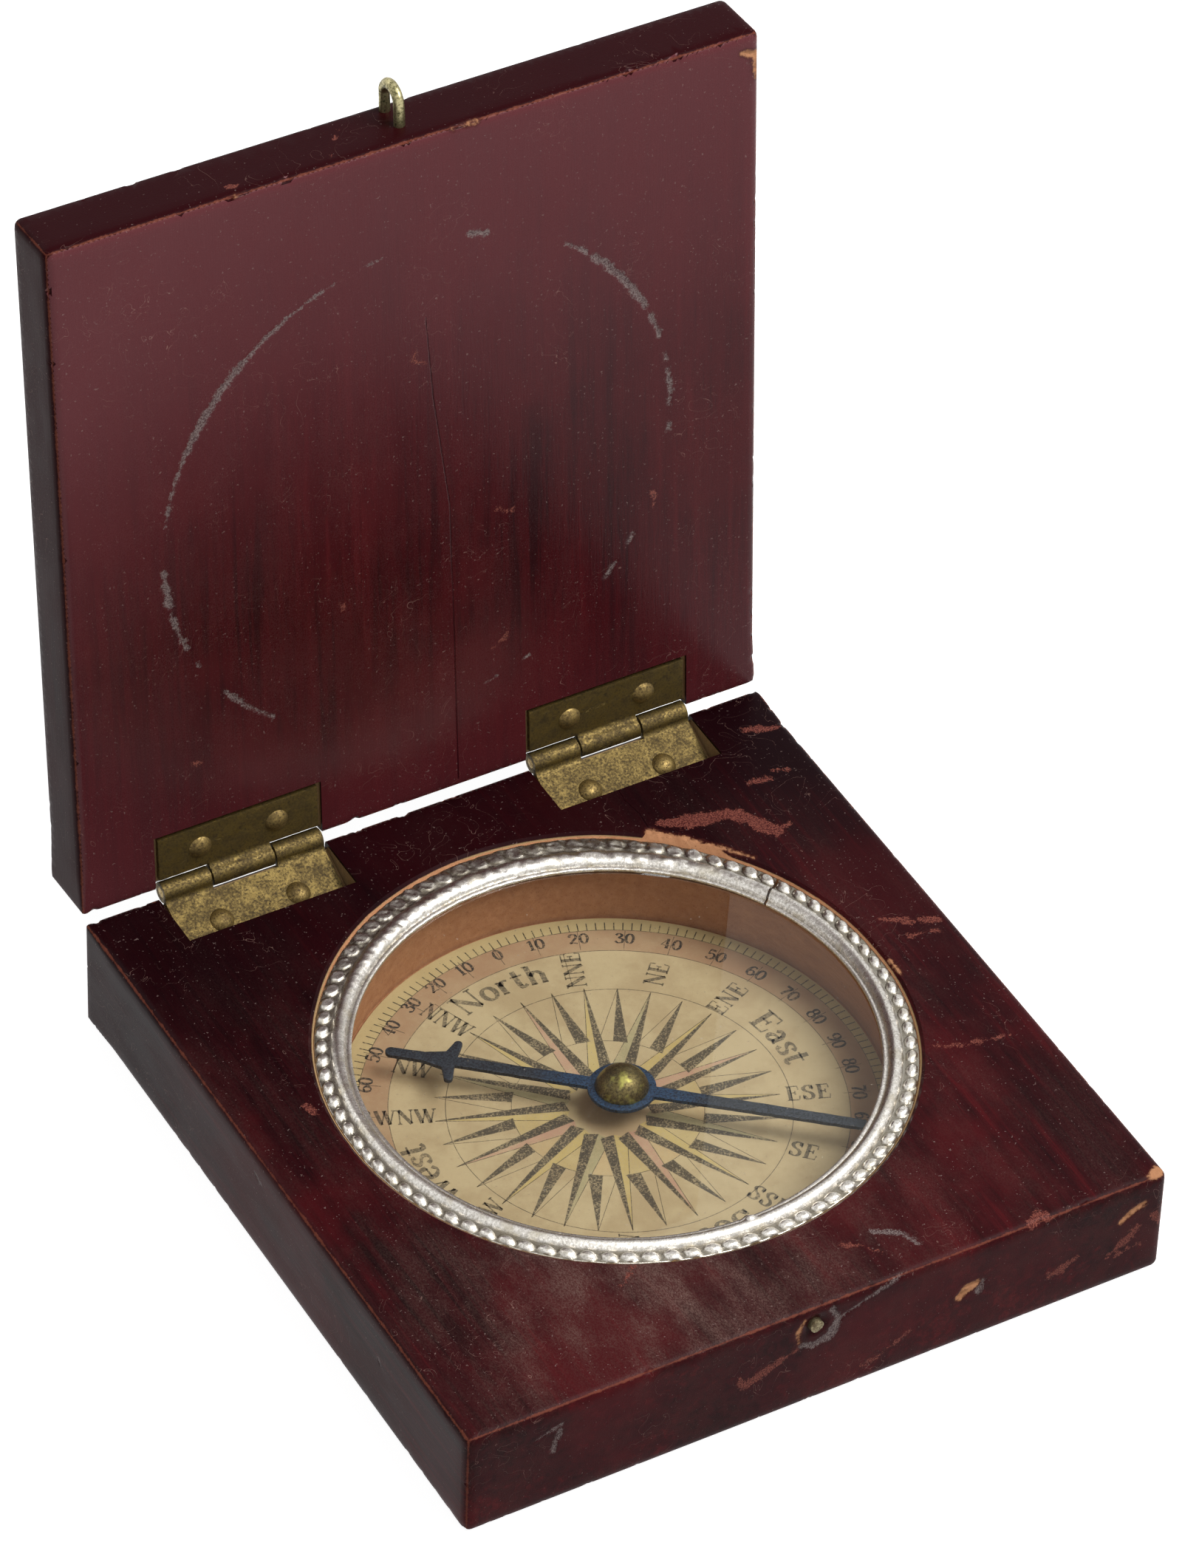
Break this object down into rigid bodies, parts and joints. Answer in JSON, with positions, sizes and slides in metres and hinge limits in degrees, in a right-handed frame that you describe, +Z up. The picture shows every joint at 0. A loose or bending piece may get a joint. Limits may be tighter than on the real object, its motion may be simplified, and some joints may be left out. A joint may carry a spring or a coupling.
{
  "type": "magnetic pocket compass",
  "caption": "Square mahogany box with a hinged lid; a steel needle turns over a printed card under glass held by a beaded ring.",
  "frame": {"origin": "middle of the base's underside", "axes": "+Z up, +X to the right along the hinges, +Y toward the hinges; drawn with the lid open"},
  "size_m": [0.07, 0.0845, 0.0879],
  "materials": {
    "mahogany_base": "old dark polish, worn through at the edges",
    "mahogany_lid": "old red polish with a soft gloss",
    "card_paper": "aged print, hand tinted",
    "glass": "clear",
    "pewter": "dull white metal, rubbed bright on the high parts",
    "blued_steel": "blued",
    "cap_brass": "tarnished",
    "pivot_steel": "turned",
    "hinge_brass": "aged, spotted",
    "hinge_pin_brass": "dark",
    "nail_brass": "aged",
    "eye_brass": "green patina",
    "pin_brass": "broken, dull"
  },
  "bodies": {
    "base": {"base_block": "mahogany_base", "compass_card": "card_paper", "glass_cover": "glass", "bezel_ring": "pewter", "pivot_pin": "pivot_steel", "left_hinge_base_leaf": "hinge_brass", "left_hinge_pin": "hinge_pin_brass", "right_hinge_base_leaf": "hinge_brass", "right_hinge_pin": "hinge_pin_brass", "left_base_nails": "nail_brass", "right_base_nails": "nail_brass", "latch_pin": "pin_brass"},
    "lid": {"lid_panel": "mahogany_lid", "left_hinge_lid_leaf": "hinge_brass", "right_hinge_lid_leaf": "hinge_brass", "left_lid_nails": "nail_brass", "right_lid_nails": "nail_brass", "lid_eye": "eye_brass"},
    "needle_body": {"needle": "blued_steel", "needle_cap": "cap_brass"}
  },
  "joints": [
    {"name": "lid_hinge", "type": "hinge", "parent": "base", "child": "lid", "pos_m": [0, 0.03665, 0.01185], "axis": [-1, 0, 0], "range_deg": [-94, 86]},
    {"name": "needle_spin", "type": "hinge", "parent": "base", "child": "needle_body", "pos_m": [0.0004, 0.0001, 0.00615], "axis": [0, 0, 1], "continuous": true}
  ]
}
